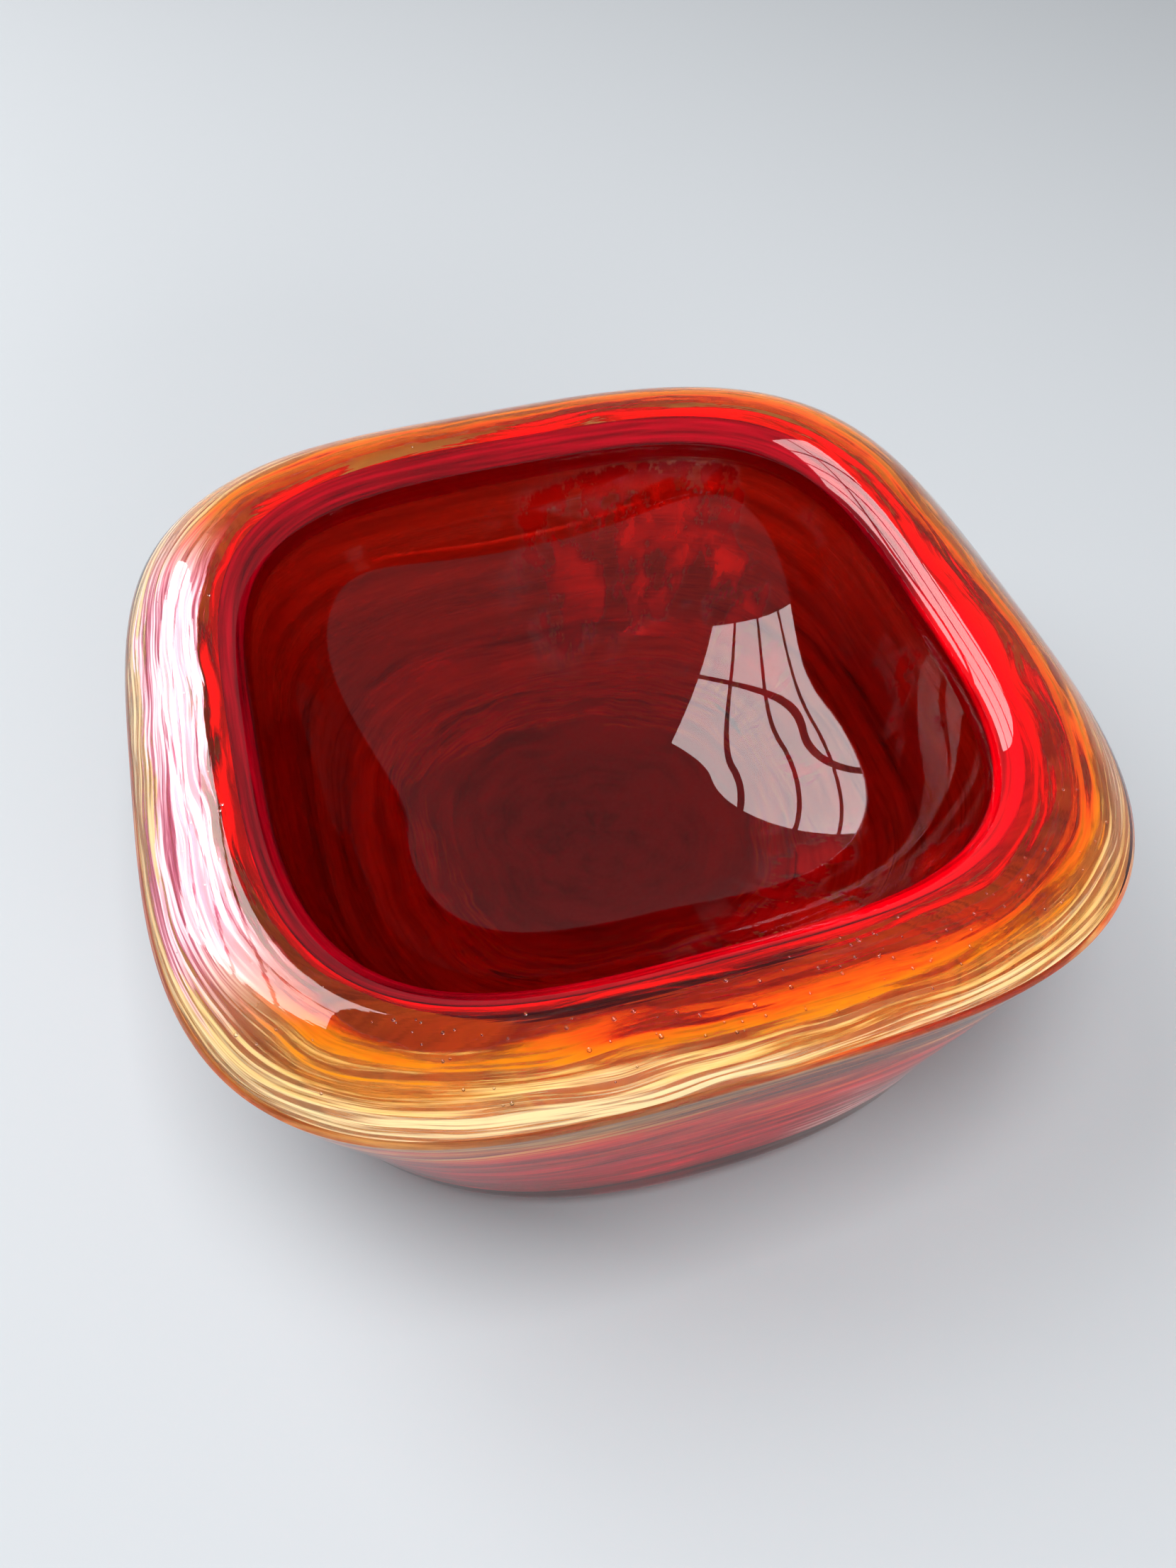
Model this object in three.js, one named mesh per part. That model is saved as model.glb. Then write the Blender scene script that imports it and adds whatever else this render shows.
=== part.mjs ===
// A heavy bowl of cased ("sommerso") glass: a ruby gather that forms the well, a thick amber
// gather wrapped round it, and a thin clear gather outside. The bowl was blown round and then
// pressed to a rounded square, so every gather is turned round first and squared the same way.
// Units are millimetres, +Z is up, and the bowl rests on z = 0 with its axis on Z.
// A radius here is measured along X or Y, to the middle of one of the four sides.

import * as THREE from 'three';

// Outer skin
const HALF_WIDTH = 75; // to the seam, the widest line of the bowl
const SEAM_HEIGHT = 50;
const FOOT_RADIUS = 61; // of the flat ground base
const FOOT_ROUNDING = 8; // of the edge between base and side
const SIDE_BULGE = 1.5; // how far the side stands out of the foot by SIDE_BULGE_HEIGHT
const SIDE_BULGE_HEIGHT = 30;

// Rim, from the seam up over the crown and down into the well
const HEIGHT = 58;
const CROWN_RADIUS = 61; // the highest line
const LIP_WIDTH = 6.7; // from the crown in to the well wall
const LIP_DROP = 6.5; // from the crown down to where the wall starts

// Well
const WELL_FLOOR = 14;
const WALL_LEAN = 3.8; // how far the wall has come in by KNEE_HEIGHT
const KNEE_HEIGHT = 30;
const FLOOR_REACH = 38; // how far out from the axis the floor's curve is drawn

// Thickness of the ruby gather, at the wall and under the floor
const RUBY_WALL = 4;
const RUBY_FLOOR = 4.5;

// Outside of the amber gather, which is the thickest of the three
const AMBER_RADIUS = 73.6; // where it ends on the rim
const AMBER_BOTTOM = 3; // its height above the base
const AMBER_FLAT = 52; // radius of its flat underside
const AMBER_HEEL_RADIUS = 67; // that its side is drawn towards, leaving the underside
const AMBER_HEEL_HEIGHT = 4;
const AMBER_WAIST_RADIUS = 68; // and coming up to the rim
const AMBER_WAIST_HEIGHT = 24;
const GAP = 0.3; // left between one gather and the next

// Pressing from round to square: 2 is a circle, and larger is squarer
const BASE_SQUARENESS = 2.4;
const RIM_SQUARENESS = 3.45;
// The well was opened a little off centre, towards -Y
const WELL_SHIFT_Y = -2;
const SHIFT_STARTS = 58; // inside this radius the glass has moved by the whole shift

// Colours of the three gathers
const RUBY = 0x8c0c14;
const AMBER = 0xf08a12;
const CLEAR = 0xeaf3e8;

// Mesh resolution
const SIDES = 64;
const WALL_STEPS = 10;
const EDGE_STEPS = 3;

const WALL_TOP = HEIGHT - LIP_DROP;
const WALL_RADIUS = CROWN_RADIUS - LIP_WIDTH;

// Height of the rim's upper surface at a radius: a quarter ellipse down into the well, and a
// parabola down to the seam.
function rimHeight(radius) {
  if (radius < CROWN_RADIUS) {
    const across = (CROWN_RADIUS - radius) / LIP_WIDTH;
    return WALL_TOP + LIP_DROP * Math.sqrt(Math.max(0, 1 - across * across));
  }
  const across = (radius - CROWN_RADIUS) / (HALF_WIDTH - CROWN_RADIUS);
  return HEIGHT - (HEIGHT - SEAM_HEIGHT) * across * across;
}

// Points along the rim from one radius in to a smaller one. They bunch towards the well, where
// the lip turns fastest.
function rimPoints(outer, inner, steps) {
  const points = [];
  for (let i = 0; i <= steps; i += 1) {
    const along = Math.sin((i / steps) * (Math.PI / 2));
    const radius = outer + (inner - outer) * along;
    points.push(new THREE.Vector2(radius, rimHeight(radius)));
  }
  return points;
}

// The well's wall and floor, from the wall's top to the axis, or the face of a gather that
// lies this far outside and below it.
function wellCurve(outside, below) {
  return new THREE.CubicBezierCurve(
    new THREE.Vector2(WALL_RADIUS + outside, WALL_TOP),
    new THREE.Vector2(WALL_RADIUS - WALL_LEAN + outside, KNEE_HEIGHT - below / 2),
    new THREE.Vector2(FLOOR_REACH + outside, WELL_FLOOR - below),
    new THREE.Vector2(0, WELL_FLOOR - below),
  ).getPoints(WALL_STEPS);
}

// The outside of the amber gather, from the axis up to the rim, or the face of the clear glass
// that lies this far outside it.
function amberPoints(outside) {
  const radius = AMBER_RADIUS + outside;
  const bottom = AMBER_BOTTOM - outside;
  const side = new THREE.CubicBezierCurve(
    new THREE.Vector2(AMBER_FLAT, bottom),
    new THREE.Vector2(AMBER_HEEL_RADIUS + outside, AMBER_HEEL_HEIGHT - outside),
    new THREE.Vector2(AMBER_WAIST_RADIUS + outside, AMBER_WAIST_HEIGHT),
    new THREE.Vector2(radius, rimHeight(radius)),
  );
  return [new THREE.Vector2(0, bottom), ...side.getPoints(WALL_STEPS)];
}

// The outside of the bowl, from the middle of the base up to the seam.
function outsidePoints() {
  const path = new THREE.Path();
  path.moveTo(0, 0);
  path.lineTo(FOOT_RADIUS, 0);
  path.absarc(FOOT_RADIUS, FOOT_ROUNDING, FOOT_ROUNDING, -Math.PI / 2, 0, false);
  path.quadraticCurveTo(
    FOOT_RADIUS + FOOT_ROUNDING + SIDE_BULGE, SIDE_BULGE_HEIGHT,
    HALF_WIDTH, SEAM_HEIGHT,
  );
  return path.getPoints(EDGE_STEPS);
}

// Drops the points that repeat the one before them, where two stretches of a profile meet.
function withoutRepeats(points) {
  return points.filter((point, i) => i === 0 || point.distanceTo(points[i - 1]) > 1e-6);
}

// How square the plan is at a height: nearly round at the base, squarest from the seam up.
function squareness(height) {
  const up = THREE.MathUtils.smoothstep(height, 0, SEAM_HEIGHT);
  return THREE.MathUtils.lerp(BASE_SQUARENESS, RIM_SQUARENESS, up);
}

// Presses a round body square, and moves the well off centre.
function press(geometry) {
  const position = geometry.getAttribute('position');
  for (let i = 0; i < position.count; i += 1) {
    const x = position.getX(i);
    const y = position.getY(i);
    const radius = Math.hypot(x, y);
    if (radius > 0) {
      const n = squareness(position.getZ(i));
      const across = Math.abs(x / radius) ** n + Math.abs(y / radius) ** n;
      const stretch = across ** (-1 / n);
      const shift = 1 - THREE.MathUtils.smoothstep(radius, SHIFT_STARTS, HALF_WIDTH);
      position.setX(i, x * stretch);
      position.setY(i, y * stretch + WELL_SHIFT_Y * shift);
    } else {
      position.setY(i, WELL_SHIFT_Y);
    }
  }
  geometry.computeVertexNormals();
  return geometry;
}

// One gather of glass: its profile turned about Z, then pressed.
function gather(name, profile, colour) {
  const geometry = new THREE.LatheGeometry(withoutRepeats(profile), SIDES);
  geometry.rotateX(Math.PI / 2);
  const material = new THREE.MeshStandardMaterial({ color: colour, roughness: 0.03, metalness: 0 });
  const mesh = new THREE.Mesh(press(geometry), material);
  mesh.name = name;
  return mesh;
}

function rubyCore() {
  const outside = wellCurve(RUBY_WALL, RUBY_FLOOR).reverse();
  const rim = rimPoints(WALL_RADIUS + RUBY_WALL, WALL_RADIUS, EDGE_STEPS + 2);
  const well = wellCurve(0, 0);
  return gather('ruby_core', [...outside, ...rim, ...well], RUBY);
}

function amberCasing() {
  const rim = rimPoints(AMBER_RADIUS, WALL_RADIUS + RUBY_WALL + GAP, EDGE_STEPS + 2);
  const inside = wellCurve(RUBY_WALL + GAP, RUBY_FLOOR + GAP);
  return gather('amber_casing', [...amberPoints(0), ...rim, ...inside], AMBER);
}

function clearCasing() {
  const rim = rimPoints(HALF_WIDTH, AMBER_RADIUS + GAP, EDGE_STEPS);
  const inside = amberPoints(GAP).reverse();
  return gather('clear_casing', [...outsidePoints(), ...rim, ...inside], CLEAR);
}

const bowl = new THREE.Group();
bowl.add(rubyCore(), amberCasing(), clearCasing());

export default bowl;
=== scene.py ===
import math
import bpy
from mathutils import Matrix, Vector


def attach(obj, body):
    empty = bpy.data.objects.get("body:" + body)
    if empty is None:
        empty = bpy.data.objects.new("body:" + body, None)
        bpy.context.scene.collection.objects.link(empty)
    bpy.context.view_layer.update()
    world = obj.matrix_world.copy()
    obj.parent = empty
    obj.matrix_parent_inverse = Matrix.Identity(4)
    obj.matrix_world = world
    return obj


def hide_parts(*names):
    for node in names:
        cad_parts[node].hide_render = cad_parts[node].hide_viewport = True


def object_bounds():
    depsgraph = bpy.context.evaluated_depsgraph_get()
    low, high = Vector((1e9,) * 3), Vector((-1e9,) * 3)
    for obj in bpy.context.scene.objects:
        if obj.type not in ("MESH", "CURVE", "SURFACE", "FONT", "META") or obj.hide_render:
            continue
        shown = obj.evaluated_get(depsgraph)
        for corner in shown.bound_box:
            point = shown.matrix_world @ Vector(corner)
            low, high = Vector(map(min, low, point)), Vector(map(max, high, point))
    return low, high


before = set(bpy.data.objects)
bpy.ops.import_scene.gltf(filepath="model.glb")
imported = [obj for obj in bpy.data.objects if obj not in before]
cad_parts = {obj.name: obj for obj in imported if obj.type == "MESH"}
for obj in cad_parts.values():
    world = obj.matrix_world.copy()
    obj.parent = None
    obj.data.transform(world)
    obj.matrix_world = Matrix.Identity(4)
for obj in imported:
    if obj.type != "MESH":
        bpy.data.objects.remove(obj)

# A bowl of cased glass. A clear skin covers the whole bowl, well included. Inside it lie a ruby
# body round the well and an amber body round that, so light passes through them in order. Only
# the skin and the bubbles bend light. The faces of the ruby and the amber carry torn streaks.

from types import SimpleNamespace

import bmesh
import bpy
import numpy as np
from mathutils import Vector

CAD_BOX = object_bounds()

# ---------------------------------------------------------------------------
# Sizes. Lengths are in metres, and a radius is measured to the middle of a side.
# ---------------------------------------------------------------------------
MM = 0.001
CM = 0.01
HEIGHT = CAD_BOX[1].z
EDGE_CLEARANCE = 0.3 * MM  # between the sides of the CAD box and the skin, ripples apart
HALF_WIDTH = CAD_BOX[1].x - EDGE_CLEARANCE
SEAM_HEIGHT = 50 * MM
FOOT_RADIUS = 61 * MM
FOOT_ROUNDING = 8 * MM
SIDE_BULGE = 1.5 * MM
SIDE_BULGE_HEIGHT = 30 * MM
CROWN_RADIUS = 61 * MM
LIP_WIDTH = 6.7 * MM
LIP_DROP = 6.5 * MM
WELL_FLOOR = 14 * MM
WALL_LEAN = 3.8 * MM
KNEE_HEIGHT = 30 * MM
FLOOR_REACH = 38 * MM
WALL_RADIUS = CROWN_RADIUS - LIP_WIDTH
WALL_TOP = HEIGHT - LIP_DROP
WELL_SHIFT_Y = -2 * MM
SHIFT_STARTS = 58 * MM
BASE_SQUARENESS = 2.4
RIM_SQUARENESS = 3.45
RUBY_WALL = 4 * MM
RUBY_FLOOR = 4.5 * MM
AMBER_RADIUS = 73.6 * MM
AMBER_BOTTOM = 3 * MM
AMBER_FLAT = 52 * MM  # radius of the amber's flat underside
AMBER_HEEL = (67 * MM, 4 * MM)  # its side is drawn towards this, leaving the underside
AMBER_WAIST = (68 * MM, 24 * MM)  # and towards this, coming up to the rim
RUBY_INSET = 0.5 * MM  # between the skin and the ruby
AMBER_INSET = 1.2 * MM  # between the skin and the amber under the rim
BODY_GAP = 0.05 * MM  # between the ruby and the amber

# Points along each stretch of a profile, and round the bowl
SIDES = 384
WELL_STEPS = 90
RIM_STEPS = 60
HIDDEN_RIM_STEPS = 30
SIDE_STEPS = 40
FLAT_STEPS = 12
FOOT_STEPS = 10
AMBER_SIDE_STEPS = 80
AMBER_FLAT_STEPS = 40
STRETCH_END = 0.999  # the last share of a stretch, so that it doesn't reach the next one
SAME_POINT = 1e-7


# ---------------------------------------------------------------------------
# Profiles: arrays of (radius, height), from the axis under a body to the axis above it.
# ---------------------------------------------------------------------------
def bezier(points, steps):
    t = np.linspace(0, 1, steps + 1)[:, None]
    p = np.asarray(points, float)
    if len(p) == 3:
        return (1 - t) ** 2 * p[0] + 2 * t * (1 - t) * p[1] + t**2 * p[2]
    return (
        (1 - t) ** 3 * p[0]
        + 3 * t * (1 - t) ** 2 * p[1]
        + 3 * t**2 * (1 - t) * p[2]
        + t**3 * p[3]
    )


def rim_height(radius):
    """Height of the rim: a quarter ellipse into the well, and a parabola down to the seam."""
    lip = (CROWN_RADIUS - radius) / LIP_WIDTH
    slope = (radius - CROWN_RADIUS) / (HALF_WIDTH - CROWN_RADIUS)
    inside = WALL_TOP + LIP_DROP * np.sqrt(np.clip(1 - lip * lip, 0, None))
    outside = HEIGHT - (HEIGHT - SEAM_HEIGHT) * slope * slope
    return np.where(radius < CROWN_RADIUS, inside, outside)


def rim_profile(outer, inner, steps, below=0.0):
    along = np.sin(np.linspace(0, math.pi / 2, steps + 1))
    radius = outer + (inner - outer) * along
    return np.stack([radius, rim_height(radius) - below], 1)


def well_profile(outside, below):
    """The well's wall and floor, or a face this far outside and below them."""
    return bezier(
        [
            (WALL_RADIUS + outside, WALL_TOP),
            (WALL_RADIUS - WALL_LEAN + outside, KNEE_HEIGHT - below / 2),
            (FLOOR_REACH + outside, WELL_FLOOR - below),
            (0, WELL_FLOOR - below),
        ],
        WELL_STEPS,
    )


def amber_underside():
    radius = np.linspace(0, AMBER_FLAT, AMBER_FLAT_STEPS + 1)
    return np.stack([radius, np.full(AMBER_FLAT_STEPS + 1, AMBER_BOTTOM)], 1)


def amber_side():
    rim = (AMBER_RADIUS, float(rim_height(AMBER_RADIUS)) - AMBER_INSET)
    return bezier([(AMBER_FLAT, AMBER_BOTTOM), AMBER_HEEL, AMBER_WAIST, rim], AMBER_SIDE_STEPS)


def outside_profile():
    """The flat base, its rounded edge, and the side up to the seam."""
    flat = np.stack([np.linspace(0, FOOT_RADIUS, FLAT_STEPS), np.zeros(FLAT_STEPS)], 1)
    turn = np.linspace(-math.pi / 2, 0, FOOT_STEPS)
    foot = np.stack(
        [FOOT_RADIUS + FOOT_ROUNDING * np.cos(turn), FOOT_ROUNDING * (1 + np.sin(turn))], 1
    )
    side = bezier(
        [
            (FOOT_RADIUS + FOOT_ROUNDING, FOOT_ROUNDING),
            (FOOT_RADIUS + FOOT_ROUNDING + SIDE_BULGE, SIDE_BULGE_HEIGHT),
            (HALF_WIDTH, SEAM_HEIGHT),
        ],
        SIDE_STEPS,
    )
    return np.concatenate([flat, foot[1:], side[1:]])


def joined(*stretches):
    """One profile, with a third column, the zone: a stretch's number plus the share along it."""
    numbered = [
        np.column_stack([points, number + np.linspace(0, STRETCH_END, len(points))])
        for number, points in enumerate(stretches)
    ]
    points = np.concatenate(numbered)
    step = np.linalg.norm(np.diff(points[:, :2], axis=0), axis=1)
    return points[np.concatenate([[True], step > SAME_POINT])]


# ---------------------------------------------------------------------------
# Bodies
# ---------------------------------------------------------------------------
def smooth(x, low, high):
    t = np.clip((x - low) / (high - low), 0, 1)
    return t * t * (3 - 2 * t)


def pressed(radius, height, angle):
    """Points of a round body after it is pressed square and its well is moved off centre."""
    n = BASE_SQUARENESS + (RIM_SQUARENESS - BASE_SQUARENESS) * smooth(height, 0, SEAM_HEIGHT)
    stretch = (np.abs(np.cos(angle)) ** n + np.abs(np.sin(angle)) ** n) ** (-1 / n)
    shift = WELL_SHIFT_Y * (1 - smooth(radius, SHIFT_STARTS, HALF_WIDTH))
    return np.stack(
        [
            radius * stretch * np.cos(angle),
            radius * stretch * np.sin(angle) + shift,
            height * np.ones_like(angle),
        ],
        -1,
    )


def waves(angle, along, seed, count, turns, waves_per_cm):
    """Smooth seeded ripples, mostly between -1 and 1, that run round the bowl and across it."""
    rng = np.random.default_rng(seed)
    total = np.zeros(np.broadcast_shapes(angle.shape, along.shape))
    for _ in range(count):
        around = rng.integers(-turns, turns + 1)
        across = rng.uniform(-1, 1) * waves_per_cm * 2 * math.pi / CM
        total += np.sin(around * angle + across * along + rng.uniform(0, 2 * math.pi))
    return total / math.sqrt(count)


def outward(profile):
    slope = np.gradient(profile, axis=0)
    slope /= np.linalg.norm(slope, axis=1)[:, None]
    return np.stack([slope[:, 1], -slope[:, 0]], 1)


def ring_faces(count):
    """Faces between the rings, and fans to the two end points that follow them."""
    faces = []
    for i in range(count - 1):
        low, high = i * SIDES, (i + 1) * SIDES
        for j in range(SIDES):
            k = (j + 1) % SIDES
            faces.append((low + j, low + k, high + k, high + j))
    first, last = count * SIDES, count * SIDES + 1
    top = (count - 1) * SIDES
    for j in range(SIDES):
        k = (j + 1) % SIDES
        faces.append((first, k, j))
        faces.append((last, top + j, top + k))
    return faces


def store_places(mesh, angle, along, zone):
    """Stores flow, the angle's cosine and sine with the centimetres along, and the zone."""
    along = along / CM
    flow = np.stack(np.broadcast_arrays(np.cos(angle), np.sin(angle), along[1:-1, None]), -1)
    flow = np.concatenate([flow.reshape(-1, 3), [(0, 0, 0), (0, 0, along[-1])]])
    zones = np.concatenate([np.repeat(zone[1:-1], SIDES), zone[[0, -1]]])
    mesh.attributes.new("flow", "FLOAT_VECTOR", "POINT").data.foreach_set("vector", flow.ravel())
    mesh.attributes.new("zone", "FLOAT", "POINT").data.foreach_set("value", zones)


def new_piece(name, points, faces, material):
    mesh = bpy.data.meshes.new(name)
    mesh.from_pydata(points.tolist(), [], faces)
    mesh.update()
    mesh.shade_smooth()
    mesh.materials.append(material)
    piece = bpy.data.objects.new(name, mesh)
    bpy.context.scene.collection.objects.link(piece)
    return piece


def turned(name, profile, material, wobble=None):
    """A closed body: the profile turned about Z, moved in and out by wobble, and pressed square."""
    zone = profile[:, 2]
    profile = profile[:, :2]
    angle = np.linspace(0, 2 * math.pi, SIDES, endpoint=False)[None, :]
    step = np.linalg.norm(np.diff(profile, axis=0), axis=1)
    along = np.concatenate([[0], np.cumsum(step)])
    radius = profile[1:-1, :1] + 0 * angle
    height = profile[1:-1, 1:] + 0 * angle
    if wobble is not None:
        move = wobble(angle, along[1:-1, None], height, zone[1:-1, None])
        direction = outward(profile)
        radius = radius + move * direction[1:-1, :1]
        height = height + move * direction[1:-1, 1:]
    rings = pressed(radius, height, angle)
    ends = [(0, WELL_SHIFT_Y, profile[0, 1]), (0, WELL_SHIFT_Y, profile[-1, 1])]
    points = np.concatenate([rings.reshape(-1, 3), ends])
    piece = new_piece(name, points, ring_faces(len(rings)), material)
    store_places(piece.data, angle, along, zone)
    return piece


# ---------------------------------------------------------------------------
# Material nodes. Below, a grain is what BodyNodes.grain is given, and a pair of numbers is the
# two edges, or the two levels, of a smooth step.
# ---------------------------------------------------------------------------
WHITE = (1.0, 1.0, 1.0)


class Nodes:
    """A material, and short ways to add nodes to it. A value is a number, a tuple or a socket."""

    def __init__(self, name):
        self.mat = bpy.data.materials.new(name)
        self.mat.use_nodes = True
        self.tree = self.mat.node_tree
        self.shader = self.tree.nodes["Principled BSDF"]
        self.end = self.tree.nodes["Material Output"]

    def put(self, kind, **values):
        node = self.tree.nodes.new(kind)
        for key, value in values.items():
            setattr(node, key, value)
        return node

    def feed(self, socket, value):
        if isinstance(value, bpy.types.NodeSocket):
            self.tree.links.new(value, socket)
        elif socket.type == "RGBA":
            socket.default_value = (*value, 1)
        else:
            socket.default_value = value

    def math(self, operation, *values):
        node = self.put("ShaderNodeMath", operation=operation)
        for socket, value in zip(node.inputs, values):
            self.feed(socket, value)
        return node.outputs[0]

    def product(self, first, *others):
        for other in others:
            first = self.math("MULTIPLY", first, other)
        return first

    def scaled(self, value, factor, plus):
        return self.math("MULTIPLY_ADD", value, factor, plus)

    def centred(self, value):
        return self.math("SUBTRACT", value, 0.5)

    def noise(self, vector, scale, detail, roughness):
        node = self.put("ShaderNodeTexNoise")
        self.feed(node.inputs["Vector"], vector)
        self.feed(node.inputs["Scale"], scale)
        self.feed(node.inputs["Detail"], detail)
        self.feed(node.inputs["Roughness"], roughness)
        return node.outputs["Fac"]

    def ramp(self, value, stops):
        node = self.put("ShaderNodeValToRGB")
        elements = node.color_ramp.elements
        while len(elements) < len(stops):
            elements.new(0.5)
        for element, (place, colour) in zip(elements, stops):
            element.position = place
            element.color = (*colour, 1)
        self.feed(node.inputs[0], value)
        return node.outputs["Color"]

    def step(self, value, edges, levels=(0.0, 1.0)):
        """A smooth step from the first level to the second, between the two edges."""
        node = self.put("ShaderNodeMapRange", interpolation_type="SMOOTHSTEP")
        for socket, item in zip(node.inputs, (value, *edges, *levels)):
            self.feed(socket, item)
        return node.outputs[0]

    def band(self, value, start, end):
        return self.product(self.step(value, start), self.step(value, end))

    def mix(self, share, a, b):
        node = self.put("ShaderNodeMix", data_type="RGBA")
        self.feed(node.inputs["Factor"], share)
        colours = [socket for socket in node.inputs if socket.type == "RGBA"]
        self.feed(colours[0], a)
        self.feed(colours[1], b)
        return next(socket for socket in node.outputs if socket.type == "RGBA")

    def absorb(self, colour, density):
        node = self.put("ShaderNodeVolumeAbsorption")
        self.feed(node.inputs["Color"], colour)
        self.feed(node.inputs["Density"], density)
        self.tree.links.new(node.outputs[0], self.end.inputs["Volume"])

    def set(self, **values):
        for key, value in values.items():
            self.feed(self.shader.inputs[key.replace("_", " ")], value)


class BodyNodes(Nodes):
    """Nodes for a turned body, which know where on it a point is."""

    def __init__(self, name):
        super().__init__(name)
        flow = self.put("ShaderNodeAttribute", attribute_name="flow").outputs["Vector"]
        parts = self.put("ShaderNodeSeparateXYZ")
        self.feed(parts.inputs[0], flow)
        self.x, self.y, self.along = parts.outputs
        self.zone = self.put("ShaderNodeAttribute", attribute_name="zone").outputs["Fac"]

    def grain(self, around, across, detail, roughness, seed=0.0):
        """Noise drawn out round the bowl: its scale round the unit circle, and its scale per cm."""
        place = self.put("ShaderNodeCombineXYZ")
        self.feed(place.inputs[0], self.scaled(self.x, around, seed))
        self.feed(place.inputs[1], self.product(self.y, around))
        self.feed(place.inputs[2], self.product(self.along, across))
        return self.noise(place.outputs[0], 1.0, detail, roughness)

    def tinted(self, colour, cover, change):
        """Glass whose coloured streaks hide this share of what lies behind them."""
        self.set(
            Base_Color=self.mix(self.step(cover, (0.0, change)), WHITE, colour),
            Transmission_Weight=self.math("SUBTRACT", 1.0, cover),
            Roughness=0.0,
            IOR=1.0,
        )


# ---------------------------------------------------------------------------
# Clear glass, and the bubbles in it
# ---------------------------------------------------------------------------
GLASS_IOR = 1.5
CLEAR_TINT = (0.6, 0.8, 0.2)
CLEAR_DENSITY = 5.0
CORDS = (2.0, 12.0, 3.0, 0.55)
CORD_DEPTH = 0.018 * MM
CORDS_START = (0.4, 0.9)  # zones: the outside is 0 to 1, the rim 1 to 2 and the well 2 to 3
CORDS_END = (1.75, 1.4)
BUBBLE_NOISE = (900.0, 2.0, 0.55)
BUBBLE_TONES = [(0.35, (1.0, 0.86, 0.8)), (0.65, WHITE)]
BUBBLE_ROUGHNESS = 0.02


def clear_glass():
    n = BodyNodes("clear_glass")
    bump = n.put("ShaderNodeBump")
    n.feed(bump.inputs["Strength"], 1.0)
    n.feed(bump.inputs["Distance"], CORD_DEPTH)
    rim = n.band(n.zone, CORDS_START, CORDS_END)
    n.feed(bump.inputs["Height"], n.product(n.grain(*CORDS), rim))
    n.set(Base_Color=WHITE, Transmission_Weight=1.0, Roughness=0.0, IOR=GLASS_IOR)
    n.set(Normal=bump.outputs[0])
    n.absorb(CLEAR_TINT, CLEAR_DENSITY)
    return n.mat


def bubble_skin():
    n = Nodes("bubble_skin")
    place = n.put("ShaderNodeTexCoord").outputs["Object"]
    tone = n.ramp(n.noise(place, *BUBBLE_NOISE), BUBBLE_TONES)
    n.set(Base_Color=tone, Transmission_Weight=1.0, Roughness=BUBBLE_ROUGHNESS, IOR=GLASS_IOR)
    return n.mat


# ---------------------------------------------------------------------------
# Ruby glass. Its zones: the hidden outside is 0 to 1, the lip 1 to 2 and the well 2 to 3.
# ---------------------------------------------------------------------------
RUBY_TINT = (0.80, 0.03, 0.04)
RUBY_DENSITY = 1000.0
RUBY_CHANGE = 0.05  # the cover by which the glass has its full streak colour
LIP_START = (0.93, 1.1)
LIP_END = (1.98, 1.7)
LIP_STREAKS = (2.0, 9.0, 5.0, 0.6)
LIP_STREAK_EDGES = (0.3, 0.7)
LIP_COVER = (0.35, 0.9)
LIP_DARK = (0.3, 0.0, 0.006)
LIP_LIGHT = (0.6, 0.0, 0.02)
# Painted glow: the lip is painted bright red towards the front right, standing in for light that
# comes through the glass.
LIP_PAINTED_GLOW = (1.0, 0.0, 0.01)
PAINTED_GLOW = (1.1, 0.22, 3.0, 0.55)
PAINTED_GLOW_NOISE = 1.6
PAINTED_GLOW_TO_FRONT_RIGHT = 0.7
PAINTED_GLOW_EDGES = (0.45, 0.85)
FLAME_PLACES = (1.7, 0.4, 3.0, 0.5)
FLAME_PLACE_EDGES = (0.46, 0.6)
FLAME_TEARS = (8.0, 0.9, 6.0, 0.65)
FLAME_TEAR_EDGES = (0.42, 0.6)
FLAME_TO_RIGHT = (-0.2, 0.5)
FLAME_COVER = 0.4
FLAME_RED = (1.0, 0.012, 0.004)
WALL_START = (2.0, 2.12)
WALL_END = (2.75, 2.3)


def lip_streaks(n):
    """Dull crimson streaks on the lip, and a painted glow of bright red towards the front right."""
    streak = n.grain(*LIP_STREAKS)
    lip = n.band(n.zone, LIP_START, LIP_END)
    cover = n.product(lip, n.step(streak, LIP_STREAK_EDGES, LIP_COVER))
    # Painted glow: the lip is painted brighter red towards the front right.
    front_right = n.product(n.math("SUBTRACT", n.x, n.y), PAINTED_GLOW_TO_FRONT_RIGHT)
    painted_glow = n.scaled(n.centred(n.grain(*PAINTED_GLOW)), PAINTED_GLOW_NOISE, front_right)
    dull = n.mix(streak, LIP_DARK, LIP_LIGHT)
    return n.mix(n.step(painted_glow, PAINTED_GLOW_EDGES), dull, LIP_PAINTED_GLOW), cover


def ruby_glass():
    n = BodyNodes("ruby_glass")
    colour, cover = lip_streaks(n)
    wall = n.band(n.zone, WALL_START, WALL_END)
    flame = n.product(
        n.step(n.grain(*FLAME_PLACES), FLAME_PLACE_EDGES),
        n.step(n.grain(*FLAME_TEARS), FLAME_TEAR_EDGES),
        wall,
        n.step(n.x, FLAME_TO_RIGHT),
        FLAME_COVER,
    )
    colour = n.mix(wall, colour, FLAME_RED)
    n.tinted(colour, n.math("MAXIMUM", cover, flame), RUBY_CHANGE)
    n.absorb(RUBY_TINT, RUBY_DENSITY)
    return n.mat


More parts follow.
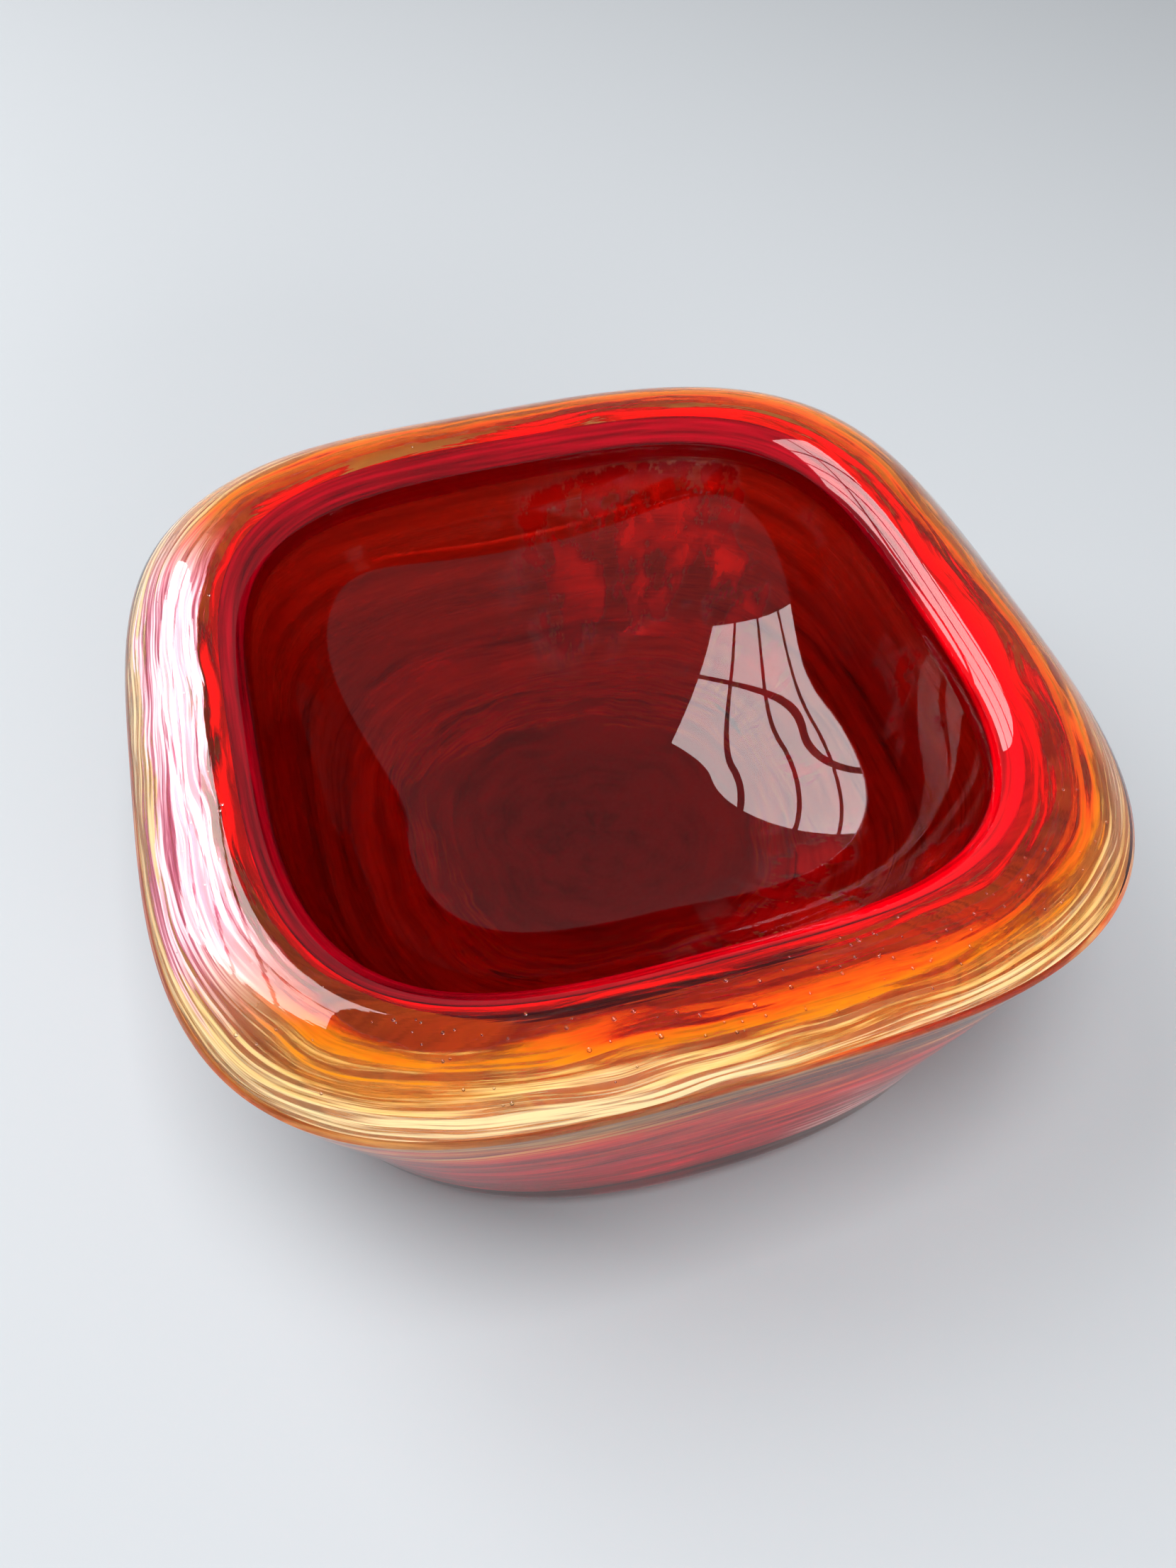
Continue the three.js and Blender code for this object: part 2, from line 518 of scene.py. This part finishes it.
# ---------------------------------------------------------------------------
# Amber glass. Its zones: the flat underside is 0 to 1, the side 1 to 2, the face under the rim
# 2 to 3 and the face round the ruby 3 to 4. The underside and side carry a veil of streaks.
# ---------------------------------------------------------------------------
AMBER_TINT = (0.999, 0.87, 0.5)
AMBER_DENSITY = 90.0
AMBER_CHANGE = 0.06
VEIL_ENDS = 2.0  # zones
RIM_ENDS = 3.0
DRIFT = (1.6, 0.56, 2.0, 0.55)
BEND = 0.8  # how far the drift bends the other grains, in cm
STREAKS = (1.2, 5.0, 7.0, 0.62, 0.0)
THREADS = (2.4, 16.0, 4.0, 0.6, 7.0)
PATCHES = (1.5, 1.6, 7.0, 0.62, 3.0)
CALM_END = (0.3, 0.55)  # zones: nearer the middle of the underside, nothing is torn

# The veil's inner side, by how far up the veil a place is: 0.5 is the edge of the underside
# and 1 is the edge of the rim
UP_PER_ZONE = 0.5
VEIL_STREAK_SHIFT = 0.7
VEIL_DRIFT_SHIFT = 0.5
INNER_HUES = [
    (0.0, (0.6, 0.02, 0.03)),
    (0.31, (0.8, 0.01, 0.01)),
    (0.34, (1.0, 0.12, 0.0)),
    (0.38, (1.0, 0.38, 0.01)),
    (0.43, (1.0, 0.65, 0.06)),
    (0.7, (1.0, 0.70, 0.16)),
    (1.0, (1.0, 0.85, 0.4)),
]
SMOKE = (0.12, 0.004, 0.004)
SMOKE_PATCHES = (0.52, 0.6)
SMOKE_STREAKS = (0.4, 0.56)
SMOKE_THINS = (0.43, 0.38)
SMOKE_LEVELS = (0.15, 0.8)
SMOKE_START = (0.68, 0.76)

# The veil's outer side, seen in through the clear glass
OUTER_HUES = [
    (0.4, (0.42, 0.004, 0.012)),
    (0.6, (0.42, 0.004, 0.022)),
    (0.8, (0.55, 0.01, 0.03)),
    (0.9, (0.85, 0.05, 0.02)),
    (0.96, (1.0, 0.28, 0.04)),
    (1.0, (1.0, 0.6, 0.2)),
]
OUTER_THREAD_SHIFT = 0.25
MAROON = (0.15, 0.002, 0.004)
MAROON_PATCHES = (0.6, 0.42)
MAROON_SHARE = 0.55
SCARLET = (1.0, 0.0, 0.02)
SCARLET_PATCHES = (0.56, 0.64)
SCARLET_THREADS = (0.4, 0.55)
SCARLET_END = (0.9, 0.75)
THREAD_EDGES = (0.4, 0.6)

# Painted highlight: pale pink and white streaks low on the front right of the side
PAINTED_HIGHLIGHT_STREAKS = (1.4, 10.0, 6.0, 0.6, 5.0)
PAINTED_HIGHLIGHT_STREAK_EDGES = (0.36, 0.54)
PAINTED_HIGHLIGHT_TEARS = 0.6
PAINTED_HIGHLIGHT_START_X = (0.15, 0.4)
PAINTED_HIGHLIGHT_END_X = (0.95, 0.75)
PAINTED_HIGHLIGHT_TO_FRONT = (0.0, -0.2)
PAINTED_HIGHLIGHT_END_UP = (1.8, 1.3)
PAINTED_HIGHLIGHT_COVER = 0.85
PAINTED_HIGHLIGHT_PINK = (0.85, 0.5, 0.5)
PAINTED_HIGHLIGHT_WHITE = (1.0, 1.0, 0.98)

# How much of what lies behind it the veil hides, at least and at most
VEIL_STREAKS = 0.6
VEIL_PATCHES = 0.9
VEIL_EDGES = (0.5, 0.85)
SIDE_START = (0.95, 1.25)
UNDERSIDE_COVER = (0.6, 0.97)
SIDE_COVER_CHANGE = (-0.42, -0.27)

# The face under the rim, by how far in from the edge a place is: 0 is the edge and 1 the ruby
RIM_STREAK_SHIFT = 0.9
RIM_PATCH_SHIFT = 0.8
FRONT_RIGHT = (0.5, 1.2)
FRONT_RIGHT_SHIFT = 0.12
RIM_HUES = [
    (0.0, (1.0, 0.86, 0.5)),
    (0.24, (1.0, 0.65, 0.16)),
    (0.36, (1.0, 0.38, 0.0)),
    (0.5, (1.0, 0.16, 0.0)),
    (0.66, (0.95, 0.01, 0.0)),
    (1.0, (1.0, 0.0, 0.005)),
]
EDGE_END = (0.36, 0.12)
EDGE_THREADS = (0.42, 0.6)
EDGE_COVER = (0.16, 0.72)
EDGE_FADES = (0.9, -0.2)  # towards the back right, which is clearer
EDGE_FADE_LEVELS = (0.4, 1.0)
ORANGE_START = (0.2, 0.4)
ORANGE_END = (0.62, 0.5)
ORANGE_PATCHES = (0.4, 0.54)
ORANGE_COVER = (0.0, 0.75)
ORANGE_STREAKS = (0.35, 0.6)
ORANGE_STREAK_LEVELS = (0.3, 1.0)
RED_START = (0.66, 0.8)
RED_STREAKS = (0.42, 0.6)
RED_COVER = (0.2, 0.85)
# Painted reflection: torn pink and white threads on the left of the rim, standing in for the window
# light reflected there.
PAINTED_REFLECTION_SIDE = (-0.70, -0.9)
PAINTED_REFLECTION_START = (0.1, 0.14)
PAINTED_REFLECTION_END = (0.62, 0.56)
PAINTED_REFLECTION_THREADS = (0.35, 0.6)
PAINTED_REFLECTION_COVER = (0.3, 0.85)
PAINTED_REFLECTION_HUE_EDGES = (0.4, 0.62)
PAINTED_REFLECTION_PINK = (0.85, 0.25, 0.4)
PAINTED_REFLECTION_WHITE = (1.0, 0.88, 0.92)


def amber_grains(n):
    """The grains that the amber's faces share."""
    drift = n.centred(n.grain(*DRIFT))
    n.along = n.scaled(drift, BEND, n.along)
    calm = n.step(n.zone, CALM_END)
    g = SimpleNamespace()
    g.streak = n.grain(*STREAKS)
    g.thread = n.grain(*THREADS)
    g.patch = n.grain(*PATCHES)
    g.drift = n.product(drift, calm)
    g.streak_shift = n.product(n.centred(g.streak), calm)
    return g


def inner_veil(n, g, up):
    smoke = n.product(
        n.step(g.patch, SMOKE_PATCHES),
        n.step(g.streak, SMOKE_STREAKS),
        n.step(up, SMOKE_THINS, SMOKE_LEVELS),
        n.step(n.zone, SMOKE_START),
    )
    return n.mix(smoke, n.ramp(up, INNER_HUES), SMOKE)


# Painted highlight: a mask of pale torn streaks low on the front right of the side.
def painted_highlight_streaks(n, g):
    torn_x = n.scaled(n.centred(g.patch), PAINTED_HIGHLIGHT_TEARS, n.x)
    return n.product(
        n.band(torn_x, PAINTED_HIGHLIGHT_START_X, PAINTED_HIGHLIGHT_END_X),
        n.step(n.y, PAINTED_HIGHLIGHT_TO_FRONT),
        n.step(n.math("ADD", n.zone, g.drift), PAINTED_HIGHLIGHT_END_UP),
        n.step(n.grain(*PAINTED_HIGHLIGHT_STREAKS), PAINTED_HIGHLIGHT_STREAK_EDGES),
    )


def outer_veil(n, g, up, painted_highlight):
    hue = n.ramp(n.scaled(n.centred(g.thread), OUTER_THREAD_SHIFT, up), OUTER_HUES)
    maroon = n.product(n.step(g.patch, MAROON_PATCHES), MAROON_SHARE)
    hue = n.mix(maroon, hue, MAROON)
    scarlet = n.product(
        n.step(g.patch, SCARLET_PATCHES),
        n.step(g.thread, SCARLET_THREADS),
        n.step(up, SCARLET_END),
    )
    hue = n.mix(scarlet, hue, SCARLET)
    # Painted highlight: the veil turns pink and white inside the highlight mask.
    return n.mix(painted_highlight, hue, n.mix(n.step(g.thread, THREAD_EDGES), PAINTED_HIGHLIGHT_PINK, PAINTED_HIGHLIGHT_WHITE))


def veil(n, g):
    """Colour and cover of the underside and the side, with a painted highlight low on the front
    right.
    """
    up = n.scaled(g.streak_shift, VEIL_STREAK_SHIFT, n.zone)
    up = n.scaled(g.drift, VEIL_DRIFT_SHIFT, up)
    up = n.product(up, UP_PER_ZONE)
    painted_highlight = painted_highlight_streaks(n, g)
    from_inside = n.put("ShaderNodeNewGeometry").outputs["Backfacing"]
    colour = n.mix(from_inside, outer_veil(n, g, up, painted_highlight), inner_veil(n, g, up))
    side = n.step(n.zone, SIDE_START)
    least = n.scaled(side, SIDE_COVER_CHANGE[0], UNDERSIDE_COVER[0])
    most = n.scaled(side, SIDE_COVER_CHANGE[1], UNDERSIDE_COVER[1])
    cover = n.scaled(g.streak, VEIL_STREAKS, n.product(g.patch, VEIL_PATCHES))
    cover = n.step(cover, VEIL_EDGES, (least, most))
    # The painted highlight also hides what lies behind the veil.
    return colour, n.math("MAXIMUM", cover, n.product(painted_highlight, PAINTED_HIGHLIGHT_COVER))


def rim_face(n, g):
    """Colour and cover of the face under the rim: straw threads, then orange, then red, and a painted
    reflection in pink and white on the left.
    """
    inward = n.math("SUBTRACT", n.zone, VEIL_ENDS)
    inward = n.scaled(g.streak_shift, RIM_STREAK_SHIFT, inward)
    inward = n.scaled(n.centred(g.patch), RIM_PATCH_SHIFT, inward)
    front_right = n.step(n.math("SUBTRACT", n.x, n.y), FRONT_RIGHT)
    inward = n.scaled(front_right, FRONT_RIGHT_SHIFT, inward)
    edge = n.product(
        n.step(inward, EDGE_END),
        n.step(g.thread, EDGE_THREADS, EDGE_COVER),
        n.step(n.math("ADD", n.x, n.y), EDGE_FADES, EDGE_FADE_LEVELS),
    )
    orange = n.product(
        n.band(inward, ORANGE_START, ORANGE_END),
        n.step(g.patch, ORANGE_PATCHES, ORANGE_COVER),
        n.step(g.streak, ORANGE_STREAKS, ORANGE_STREAK_LEVELS),
    )
    red = n.product(n.step(inward, RED_START), n.step(g.streak, RED_STREAKS, RED_COVER))
    # Painted reflection: pink and white threads on the left of the rim.
    painted_reflection = n.product(n.band(inward, PAINTED_REFLECTION_START, PAINTED_REFLECTION_END), n.step(n.x, PAINTED_REFLECTION_SIDE))
    painted_reflection_cover = n.product(painted_reflection, n.step(g.thread, PAINTED_REFLECTION_THREADS, PAINTED_REFLECTION_COVER))
    painted_reflection_hue = n.mix(n.step(g.thread, PAINTED_REFLECTION_HUE_EDGES), PAINTED_REFLECTION_PINK, PAINTED_REFLECTION_WHITE)
    cover = n.math("MAXIMUM", edge, orange)
    cover = n.math("MAXIMUM", cover, n.math("MAXIMUM", red, painted_reflection_cover))
    return n.mix(painted_reflection, n.ramp(inward, RIM_HUES), painted_reflection_hue), cover


def amber_glass():
    n = BodyNodes("amber_glass")
    g = amber_grains(n)
    veil_colour, veil_cover = veil(n, g)
    rim_colour, rim_cover = rim_face(n, g)
    on_veil = n.math("LESS_THAN", n.zone, VEIL_ENDS)
    on_rim = n.product(n.math("SUBTRACT", 1.0, on_veil), n.math("LESS_THAN", n.zone, RIM_ENDS))
    cover = n.math("ADD", n.product(veil_cover, on_veil), n.product(rim_cover, on_rim))
    n.tinted(n.mix(on_veil, rim_colour, veil_colour), cover, AMBER_CHANGE)
    n.absorb(AMBER_TINT, AMBER_DENSITY)
    return n.mat


# ---------------------------------------------------------------------------
# Pieces
# ---------------------------------------------------------------------------
SKIN_RIPPLE = 0.12 * MM
SKIN_WAVES = {"seed": 4, "count": 14, "turns": 9, "waves_per_cm": 0.5}
SKIN_MIDDLE = -1.2  # added to the waves, so that nearly all of the ripple goes inward
STILL_WELL = 0.92  # the share of the ripple that the well doesn't have
RIPPLE_STARTS = (0.5 * MM, 6 * MM)  # heights, so that the base stays flat
WELL_ZONES = (1.8, 2.2)
VEIL_RIPPLE = 0.4 * MM
VEIL_WAVES = {"seed": 11, "count": 30, "turns": 6, "waves_per_cm": 2.0}
VEIL_MIDDLE = -0.5
VEIL_START = (0.3, 0.6)
VEIL_END = (1.8, 1.97)

BUBBLES = 130
BUBBLE_SEED = 21
BUBBLE_ANGLE = (-math.pi / 2 - 0.2, 0.9)  # mean and spread: most are by the front
BUBBLE_INNER = WALL_RADIUS + 5 * MM
BUBBLE_OUTER = HALF_WIDTH - 3.5 * MM
BUBBLE_RADIUS = (0.16, 0.40)  # in mm
BUBBLE_CUT = (0.5, 1)  # each radius is then multiplied by a share from this range
BUBBLE_DEPTH = (0.5, 0.75)  # in mm, under the rim
BUBBLE_FLATNESS = 0.7
BUBBLE_DIVISIONS = 2


def skin_wobble(angle, along, height, zone):
    moving = 1 - STILL_WELL * smooth(zone, *WELL_ZONES)
    amount = SKIN_RIPPLE * smooth(height, *RIPPLE_STARTS) * moving
    return amount * (waves(angle, along, **SKIN_WAVES) + SKIN_MIDDLE)


def amber_wobble(angle, along, height, zone):
    on_veil = smooth(zone, *VEIL_START) * (1 - smooth(zone, *VEIL_END))
    return VEIL_RIPPLE * on_veil * (waves(angle, along, **VEIL_WAVES) + VEIL_MIDDLE)


def clear_skin():
    rim = rim_profile(HALF_WIDTH, WALL_RADIUS, RIM_STEPS)
    profile = joined(outside_profile(), rim, well_profile(0, 0))
    return turned("clear_glass", profile, clear_glass(), skin_wobble)


def ruby_body():
    outside = well_profile(RUBY_WALL, RUBY_FLOOR)[::-1]
    outer = WALL_RADIUS + RUBY_WALL
    rim = rim_profile(outer, WALL_RADIUS + RUBY_INSET, HIDDEN_RIM_STEPS, RUBY_INSET)
    profile = joined(outside, rim, well_profile(RUBY_INSET, RUBY_INSET))
    return turned("ruby_glass", profile, ruby_glass())


def amber_body():
    inner = WALL_RADIUS + RUBY_WALL + BODY_GAP
    rim = rim_profile(AMBER_RADIUS, inner, HIDDEN_RIM_STEPS, AMBER_INSET)
    inside = well_profile(RUBY_WALL + BODY_GAP, RUBY_FLOOR + BODY_GAP)
    profile = joined(amber_underside(), amber_side(), rim, inside)
    return turned("amber_glass", profile, amber_glass(), amber_wobble)


def unit_ball():
    ball = bmesh.new()
    bmesh.ops.create_icosphere(ball, subdivisions=BUBBLE_DIVISIONS, radius=1)
    points = np.array([v.co[:] for v in ball.verts])
    faces = np.array([[v.index for v in f.verts] for f in ball.faces])
    ball.free()
    return points, faces


def bubbles():
    """Small air bubbles caught between the skin and the amber."""
    rng = np.random.default_rng(BUBBLE_SEED)
    shape, sides = unit_ball()
    points, faces = [], []
    for number in range(BUBBLES):
        angle = rng.normal(*BUBBLE_ANGLE)
        radius = rng.uniform(BUBBLE_INNER, BUBBLE_OUTER)
        size = rng.uniform(*BUBBLE_RADIUS) * MM * rng.uniform(*BUBBLE_CUT)
        height = float(rim_height(radius)) - rng.uniform(*BUBBLE_DEPTH) * MM
        middle = pressed(np.array(radius), np.array(height), np.array(angle))
        ball = shape * size
        ball[:, 2] *= BUBBLE_FLATNESS
        points.append(middle + ball)
        faces.append(sides + number * len(shape))
    return new_piece("bubbles", np.concatenate(points), np.concatenate(faces).tolist(), bubble_skin())


for piece, node, slot in (
    (clear_skin(), "clear_casing", "clear_glass"),
    (ruby_body(), "ruby_core", "ruby_glass"),
    (amber_body(), "amber_casing", "amber_glass"),
    (bubbles(), "clear_casing", "clear_glass"),
):
    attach(piece, "root")
    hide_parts(node)


# ---------------------------------------------------------------------------
# Stage
# ---------------------------------------------------------------------------
STAGE_HALF_SIZE = 8.0
FLOOR_LEVEL = -0.1 * MM
FLOOR_NEAR = (0.25, 0.26, 0.27)
FLOOR_FAR = (0.9, 0.91, 0.92)
FLOOR_CHANGE = (1.0, 1.6)
FLOOR_ROUGHNESS = 0.8
SKY_COLOUR = (0.93, 0.95, 1.0)
SKY_STRENGTH = 0.4

LIGHTS_AIM = (0, 0, 0.03)
BANK = {"middle": (-0.58, 0.54, 0.72), "size": (0.86, 1.10), "columns": 2, "rows": 4, "power": 21}
PANE_GAP = 0.028
FILL = {"place": (0.0, -0.15, 1.0), "size": (0.5, 0.5), "power": 15}
KICKER = {"place": (0.20, -0.80, 0.22), "size": (0.6, 0.3), "power": 11}

CAMERA_AZIMUTH = -16.5
CAMERA_ELEVATION = 51.6
CAMERA_DISTANCE = 217 * MM
CAMERA_AIM = (0, 0, 20 * MM)
CAMERA_RIGHT = -1.25 * MM
CAMERA_UP = 0.2 * MM
CAMERA_LENS = 27.03
CAMERA_SENSOR = 36
CAMERA_CLIP = 0.01

LIGHT_BOUNCES = 18
PICTURE_GAMMA = 0.88


def stage_floor():
    """A plain floor, paler far away where the lamps do not reach."""
    mesh = bpy.data.meshes.new("floor")
    turns = ((-1, -1), (1, -1), (1, 1), (-1, 1))
    corners = [(x * STAGE_HALF_SIZE, y * STAGE_HALF_SIZE, FLOOR_LEVEL) for x, y in turns]
    mesh.from_pydata(corners, [], [(0, 1, 2, 3)])
    floor = bpy.data.objects.new("floor", mesh)
    bpy.context.scene.collection.objects.link(floor)
    n = Nodes("floor")
    away = n.put("ShaderNodeVectorMath", operation="LENGTH")
    n.feed(away.inputs[0], n.put("ShaderNodeTexCoord").outputs["Object"])
    far = n.step(away.outputs["Value"], FLOOR_CHANGE)
    n.set(Base_Color=n.ramp(far, [(0, FLOOR_NEAR), (1, FLOOR_FAR)]), Roughness=FLOOR_ROUGHNESS)
    mesh.materials.append(n.mat)


def sky():
    world = bpy.data.worlds.new("studio")
    bpy.context.scene.world = world
    world.use_nodes = True
    background = world.node_tree.nodes["Background"]
    background.inputs["Color"].default_value = (*SKY_COLOUR, 1)
    background.inputs["Strength"].default_value = SKY_STRENGTH


def softbox(name, place, size, power):
    light = bpy.data.lights.new(name, "AREA")
    light.shape = "RECTANGLE"
    light.size, light.size_y = size
    light.energy = power
    lamp = bpy.data.objects.new(name, light)
    bpy.context.scene.collection.objects.link(lamp)
    lamp.location = place
    lamp.rotation_euler = turned_to_bowl(place).to_euler()
    return lamp


def turned_to_bowl(place):
    return (Vector(LIGHTS_AIM) - Vector(place)).to_track_quat("-Z", "Y")


def bank(middle, size, columns, rows, power):
    """One large light made of a grid of softboxes, so that its reflection shows panes."""
    turn = turned_to_bowl(middle)
    cell = (size[0] / columns, size[1] / rows)
    pane = (cell[0] - PANE_GAP, cell[1] - PANE_GAP)
    for i in range(columns):
        for j in range(rows):
            across = (i - (columns - 1) / 2) * cell[0]
            up = (j - (rows - 1) / 2) * cell[1]
            place = Vector(middle) + turn @ Vector((across, up, 0))
            panel = softbox(f"key_{i}_{j}", place, pane, power / columns / rows)
            panel.rotation_euler = turn.to_euler()


def unseen_softbox(name, place, size, power):
    """A softbox that lights the glass but isn't reflected in it."""
    softbox(name, place, size, power).visible_glossy = False


def camera():
    azimuth = math.radians(CAMERA_AZIMUTH)
    elevation = math.radians(CAMERA_ELEVATION)
    back = Vector(
        (
            math.sin(azimuth) * math.cos(elevation),
            -math.cos(azimuth) * math.cos(elevation),
            math.sin(elevation),
        )
    )
    turn = (-back).to_track_quat("-Z", "Y")
    data = bpy.data.cameras.new("camera")
    data.sensor_width = CAMERA_SENSOR
    data.lens = CAMERA_LENS
    data.clip_start = CAMERA_CLIP
    cam = bpy.data.objects.new("camera", data)
    bpy.context.scene.collection.objects.link(cam)
    offset = turn @ Vector((CAMERA_RIGHT, CAMERA_UP, 0))
    cam.location = Vector(CAMERA_AIM) + offset + back * CAMERA_DISTANCE
    cam.rotation_mode = "QUATERNION"
    cam.rotation_quaternion = turn
    bpy.context.scene.camera = cam


def light_paths():
    scene = bpy.context.scene
    scene.cycles.max_bounces = LIGHT_BOUNCES
    scene.cycles.transmission_bounces = LIGHT_BOUNCES
    scene.view_settings.view_transform = "Standard"
    scene.view_settings.gamma = PICTURE_GAMMA


stage_floor()
sky()
bank(**BANK)
unseen_softbox("fill", **FILL)
unseen_softbox("kicker", **KICKER)
camera()
light_paths()
